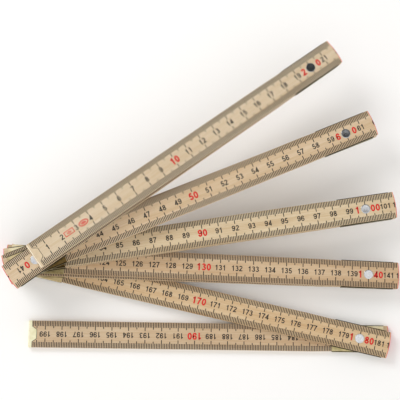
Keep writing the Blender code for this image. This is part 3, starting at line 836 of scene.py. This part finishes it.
for name, node in frame["nodes"].items():
    if "hinge_plate" in name or name.endswith("end_cap"):
        node.data.materials.clear()
        node.data.materials.append(sheet_finish(name))
        softened = node.modifiers.new("broken_edges", "BEVEL")
        softened.width = SHEET_EDGE
        softened.segments = 2
        softened.limit_method = "ANGLE"
        softened.angle_limit = SHEET_CORNER
print("sheet steel pieces dressed")

# %% [markdown]
# A cap's tongue is pressed into the end of its blade. The groove round it is drawn as a thin dark
# outline, a painted shadow. The bent edge at the very end is drawn as a thin bright bar, a painted
# highlight. Both are thin bars swept along the tongue's outline and along the bend, like the strokes of the
# figures.

# %% Painted shadow in the caps' groove and painted highlight on their bend
CAP_STRIP, TONGUE_REACH = 2.1 * MM, 4.8 * MM
TONGUE_ROOT, TONGUE_TIP = 9.0 * MM, 5.3 * MM
GROOVE_WIDTH = 0.3 * MM
BEND_INSET, BEND_WIDTH = 0.55 * MM, 0.34 * MM


def plain_finish(name, pale, dark, roughness):
    """A dull finish with a fine mottle, for the painted shadow and the painted highlight on the caps."""
    material, tree, shader, coordinates = new_material(name)
    mottle = add_node(tree, "ShaderNodeTexNoise", inputs={"Vector": coordinates, "Scale": 1 / (0.6 * MM)})
    tone = add_node(tree, "ShaderNodeValToRGB", inputs={"Fac": mottle.outputs["Fac"]})
    set_ramp(tone, [(0.35, dark), (0.65, pale)])
    tree.links.new(tone.outputs["Color"], shader.inputs["Base Color"])
    shader.inputs["Roughness"].default_value = roughness
    return material


# painted shadow: a dark bar round the cap's tongue
PAINTED_GROOVE_SHADOW = plain_finish("painted_groove_shadow", "#2C271D", "#1A1711", 0.8)
# painted highlight: a near-white bar along the cap's bend, where it catches the light
PAINTED_BEND_HIGHLIGHT = plain_finish("painted_bend_highlight", "#FFF9EA", "#F3EAD2", 0.5)


def cap_lines(number, lines, stroke, height, material, name):
    """Thin bars on both faces of a cap; lines are (distance from the free end, sideways)."""
    free_x, inwards = (SPACING, -1) if number == 1 else (0.0, 1)
    placed = [[(free_x + inwards * x, y) for x, y in line] for line in lines]
    mirrored = [[(SPACING - x, y) for x, y in line] for line in placed]
    lift = Matrix.Translation((0, 0, height + FILM_MIDDLE))
    parts = [(stroke_mesh(placed, stroke, INK_FILM), BLADES[number] @ lift),
             (stroke_mesh(mirrored, stroke, INK_FILM), BLADES[number] @ TURN_OVER @ lift)]
    joined = join_meshes(name, parts, material)
    add_piece(name, joined, f"section_{number:02d}")


groove = GROOVE_WIDTH / 2
OUTLINE = [(CAP_STRIP + groove, EDGE_FULL), (CAP_STRIP + groove, TONGUE_ROOT / 2 + groove),
           (TONGUE_REACH + groove, TONGUE_TIP / 2 + groove)]
OUTLINE += [(x, -y) for x, y in reversed(OUTLINE)]
BEND = [(BEND_INSET, EDGE_FULL), (BEND_INSET, -EDGE_FULL)]
for number, end in ((1, "zero"), (BLADE_COUNT, "far")):
    cap_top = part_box(f"{end}_end_cap")[1].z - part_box(f"blade_{number:02d}")[0].z
    cap_lines(number, [OUTLINE], GROOVE_WIDTH, THICKNESS, PAINTED_GROOVE_SHADOW, f"{end}_cap_groove")
    cap_lines(number, [BEND], BEND_WIDTH, cap_top, PAINTED_BEND_HIGHLIGHT, f"{end}_cap_bend")
print("cap grooves and bends: 4 pieces")

# %% [markdown]
# ## Rivets, turned fresh
#
# A rivet head is the brightest thing on a blade, and its rim is a small rounded step that catches the
# light. The frame's rivets have few sides, so each is replaced by a finely turned one. Its flat face is
# slightly dished where the riveting punch pressed it. The profile runs from the lower head's middle to
# the upper head's middle and is spun once round.

# %% Turn the rivets
HEAD_RADIUS = 2.8 * MM
HEAD_THICKNESS = 0.5 * MM
SHAFT_RADIUS = 1.5 * MM
HEAD_ROUND = 0.16 * MM
HEAD_DISH = 0.035 * MM
TURNED_SIDES = 64
HARD_CORNER = math.radians(40)     # corners sharper than this keep a crisp edge


def rivet_profile(length):
    """Half of a rivet's section, as (radius, height), from the bottom middle to the top middle."""
    lower = [(0.0, HEAD_DISH), (HEAD_RADIUS * 0.55, HEAD_DISH * 0.6), (HEAD_RADIUS * 0.86, 0.0)]
    for step in range(5):
        angle = math.pi / 2 * step / 4
        lower.append((HEAD_RADIUS - HEAD_ROUND * (1 - math.sin(angle)), HEAD_ROUND * (1 - math.cos(angle))))
    lower += [(HEAD_RADIUS, HEAD_THICKNESS), (SHAFT_RADIUS, HEAD_THICKNESS)]
    return lower + [(radius, length - height) for radius, height in reversed(lower)]


def turned_mesh(name, profile, place):
    """A closed round piece, spun from its profile about the upright axis through place."""
    bm = bmesh.new()
    line = [bm.verts.new((radius, 0, height)) for radius, height in profile]
    edges = [bm.edges.new(pair) for pair in zip(line, line[1:])]
    bmesh.ops.spin(bm, geom=line + edges, cent=(0, 0, 0), axis=(0, 0, 1), angle=2 * math.pi,
                   steps=TURNED_SIDES, use_merge=True)
    bmesh.ops.remove_doubles(bm, verts=bm.verts, dist=1e-7)
    bmesh.ops.recalc_face_normals(bm, faces=bm.faces)
    bmesh.ops.translate(bm, verts=bm.verts, vec=place)
    mesh = bpy.data.meshes.new(name)
    bm.to_mesh(mesh)
    bm.free()
    mesh.shade_smooth()
    mesh.set_sharp_from_angle(angle=HARD_CORNER)
    return mesh


def punched_zinc():
    """Bright zinc on a riveted head: smooth metal with faint marks from the punch."""
    material, tree, shader, coordinates = new_material("bright_zinc_rivet")
    marks = add_node(tree, "ShaderNodeTexNoise", inputs={
        "Vector": coordinates, "Scale": 1 / (0.7 * MM), "Detail": 3.0})
    tone = add_node(tree, "ShaderNodeValToRGB", inputs={"Fac": marks.outputs["Fac"]})
    set_ramp(tone, [(0.35, "#C6C9CE"), (0.7, "#DBDDE0")])
    tree.links.new(tone.outputs["Color"], shader.inputs["Base Color"])
    gloss = add_node(tree, "ShaderNodeMapRange", inputs={
        "Value": marks.outputs["Fac"], "To Min": 0.08, "To Max": 0.18})
    tree.links.new(gloss.outputs[0], shader.inputs["Roughness"])
    bump = add_node(tree, "ShaderNodeBump", inputs={
        "Height": marks.outputs["Fac"], "Strength": 0.12, "Distance": 0.02 * MM})
    tree.links.new(bump.outputs[0], shader.inputs["Normal"])
    shader.inputs["Metallic"].default_value = 1.0
    return material


RIVET_FINISH = punched_zinc()
for hinge, axis_point in HINGES.items():
    node = f"rivet_{hinge}"
    bottom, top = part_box(node)
    foot = (axis_point.x, axis_point.y, bottom.z)
    mesh = turned_mesh(f"turned_{node}", rivet_profile(top.z - bottom.z), foot)
    mesh.materials.append(RIVET_FINISH)
    piece = add_piece(f"turned_{node}", mesh, f"section_{hinge + 1:02d}")
    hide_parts(node)
print("turned rivets:", len(HINGES))

# %% [markdown]
# The detent springs are hidden in their hinges, but a rule that is taken apart shows them. They are
# plain spring steel, blued a little by hardening.

# %% Spring steel


def blued_spring_steel():
    """Hardened spring steel with a faint blue-grey scale."""
    material, tree, shader, coordinates = new_material("blued_spring_steel")
    scale = add_node(tree, "ShaderNodeTexNoise", inputs={"Vector": coordinates, "Scale": 1 / (1.5 * MM)})
    tone = add_node(tree, "ShaderNodeValToRGB", inputs={"Fac": scale.outputs["Fac"]})
    set_ramp(tone, [(0.35, "#6E747C"), (0.7, "#8E9298")])
    tree.links.new(tone.outputs["Color"], shader.inputs["Base Color"])
    shader.inputs["Metallic"].default_value = 1.0
    shader.inputs["Roughness"].default_value = 0.3
    return material


SPRING_FINISH = blued_spring_steel()
for name, node in frame["nodes"].items():
    if name.startswith("detent_spring"):
        node.data.materials.clear()
        node.data.materials.append(SPRING_FINISH)

# %% [markdown]
# ## Red inspection marks
#
# The first blade carries two small red marks near its zero: a frame and a ring. They are drawn here as
# plain shapes, with a lozenge in the frame and a spot in the ring, and in the red ink of the tenth numbers.

# %% Inspection marks
MARK_STROKE = 0.58 * MM
FRAME_SIZE = (5.9 * MM, 2.8 * MM)
RING_SIZE = (5.9 * MM, 3.0 * MM)
FRAME_PLACE, RING_PLACE = 2.5, 3.5     # centimetres on the scale


def on_blade(x_mark):
    """The place of a centimetre on the top blade, which runs from its hinge at the last mark."""
    return (MARKS_PER_BLADE - x_mark) * CENTIMETRE


def inspection_marks():
    """A frame with a lozenge and a ring with a spot, as ink on the top blade."""
    half_x, half_y = FRAME_SIZE[0] / 2, FRAME_SIZE[1] / 2
    box = [(-half_x, -half_y), (half_x, -half_y), (half_x, half_y), (-half_x, half_y), (-half_x, -half_y)]
    wide, tall = 0.5 * half_x, 0.35 * half_y
    lozenge = [(-wide, 0), (0, tall), (wide, 0), (0, -tall), (-wide, 0)]
    ring = arc(0, 0, RING_SIZE[0] / 2, RING_SIZE[1] / 2, 0, 360)
    spot = arc(0, 0, RING_SIZE[0] / 4.5, RING_SIZE[1] / 8, 0, 360)
    parts = []
    for lines, mark in (([box, lozenge], FRAME_PLACE), ([ring, spot], RING_PLACE)):
        place = Matrix.Translation((on_blade(mark), 0, THICKNESS + FILM_MIDDLE))
        parts.append((stroke_mesh(lines, MARK_STROKE, INK_FILM), BLADES[1] @ place))
    return join_meshes("inspection_marks", parts, RED_INK)


add_piece("inspection_marks", inspection_marks(), "section_01")

# %% [markdown]
# ## Floor, light and camera
#
# The rule lies on a plain white board. The light is a studio tent: white from almost everywhere, so the
# shadows are soft. Polished metal shows what the tent looks like. Overhead, a little towards the far side,
# the tent has a dark opening. The farther a rivet is from the near edge, the more of the opening it
# mirrors, so the heads turn from white to slate. A large soft lamp at the far left gives the blades
# their shape.

# %% Floor and light
FLOOR_SIZE = 6.0
OPENING_FROM = (0.125, 0.235)  # between these slopes Y / Z the white roof fades into the opening
OPENING_TO = (0.55, 1.1)       # and between these the far wall fades in
FAR_WALL = 0.8                 # of the way from the opening's glow to the roof's
OPENING_GLOW, TENT_GLOW = 0.045, 1.1
LOWEST_HEIGHT = 0.02           # keeps the slope finite near the horizon
LAMP_PLACE, LAMP_SIZE, LAMP_POWER = (-0.85, 0.6, 0.9), 0.7, 8.1
floor_mesh = bpy.data.meshes.new("floor")
half = FLOOR_SIZE / 2
floor_corners = [(-half, -half, 0), (half, -half, 0), (half, half, 0), (-half, half, 0)]
floor_mesh.from_pydata(floor_corners, [], [(0, 1, 2, 3)])
floor = bpy.data.objects.new("floor", floor_mesh)
bpy.context.scene.collection.objects.link(floor)
floor_material, _, floor_shader, _ = new_material("white_board")
floor_shader.inputs["Base Color"].default_value = linear("#FAFAFA")
floor_shader.inputs["Roughness"].default_value = 0.9
floor_shader.inputs["Specular IOR Level"].default_value = 0.1
floor_mesh.materials.append(floor_material)


def studio_tent():
    """A white world with a dark opening overhead, a little towards the far side."""
    world = bpy.data.worlds.new("studio_tent")
    world.use_nodes = True
    tree = world.node_tree
    tree.nodes.clear()
    direction = add_node(tree, "ShaderNodeTexCoord").outputs["Generated"]
    parts = add_node(tree, "ShaderNodeSeparateXYZ", inputs={0: direction}).outputs
    height = add_node(tree, "ShaderNodeMath", {"operation": "MAXIMUM"},
                      {0: parts["Z"], 1: LOWEST_HEIGHT}).outputs[0]
    slope = add_node(tree, "ShaderNodeMath", {"operation": "DIVIDE"}, {0: parts["Y"], 1: height}).outputs[0]

    def fade(slopes, before, after):
        return add_node(tree, "ShaderNodeMapRange", {"interpolation_type": "SMOOTHSTEP"}, {
            "Value": slope, "From Min": slopes[0], "From Max": slopes[1],
            "To Min": before, "To Max": after}).outputs[0]

    tent = add_node(tree, "ShaderNodeMath", {"operation": "MAXIMUM"},
                    {0: fade(OPENING_FROM, 1.0, 0.0), 1: fade(OPENING_TO, 0.0, FAR_WALL)}).outputs[0]
    strength = add_node(tree, "ShaderNodeMapRange", inputs={
        "Value": tent, "To Min": OPENING_GLOW, "To Max": TENT_GLOW}).outputs[0]
    background = add_node(tree, "ShaderNodeBackground", inputs={
        "Color": linear("#FFFDFA"), "Strength": strength})
    output = add_node(tree, "ShaderNodeOutputWorld")
    tree.links.new(background.outputs[0], output.inputs["Surface"])
    bpy.context.scene.world = world


def aim(obj, target, up=(0, 1, 0)):
    """Turns an object so that its -Z looks at the target and its +Y leans towards up."""
    back = (obj.location - Vector(target)).normalized()
    side = Vector(up).cross(back).normalized()
    turn = Matrix((side, back.cross(side), back)).transposed()
    obj.rotation_euler = turn.to_euler()


studio_tent()
lamp_data = bpy.data.lights.new("soft_lamp", "AREA")
lamp_data.shape = "DISK"
lamp_data.size = LAMP_SIZE
lamp_data.energy = LAMP_POWER
lamp = bpy.data.objects.new("soft_lamp", lamp_data)
lamp.location = LAMP_PLACE
bpy.context.scene.collection.objects.link(lamp)
aim(lamp, (0, 0, 0), (0, 0, 1))

# %% [markdown]
# The camera hangs 63 cm above the middle of the rule, moved 3 cm to the left and 10 cm to the near side,
# and it looks at that middle. A long lens keeps the blades almost free of perspective.

# %% Camera
CAMERA_PLACE = (-0.0307, -0.1028, 0.6445)
AIM_X, AIM_Y = -0.0025, -0.0018
CAMERA_ROLL = math.radians(0.76)
SENSOR_MM, LENS_MM = 36.0, 94.7
low, high = cad_box
middle = (low + high) / 2
camera_data = bpy.data.cameras.new("camera")
camera_data.sensor_width = SENSOR_MM
camera_data.lens = LENS_MM
camera = bpy.data.objects.new("camera", camera_data)
bpy.context.scene.collection.objects.link(camera)
camera.location = CAMERA_PLACE
aim(camera, (AIM_X, AIM_Y, middle.z), (-math.sin(CAMERA_ROLL), math.cos(CAMERA_ROLL), 0))
bpy.context.scene.camera = camera
bpy.context.scene.view_settings.view_transform = "Standard"
print("camera at", [round(c, 3) for c in camera.location])

# %% [markdown]
# The box of the bare frame was taken at the start, and it gives the camera the height it aims at.
# Print and finishes are thin, so the dressed rule's box would agree closely with it.

# %% Finish
import json
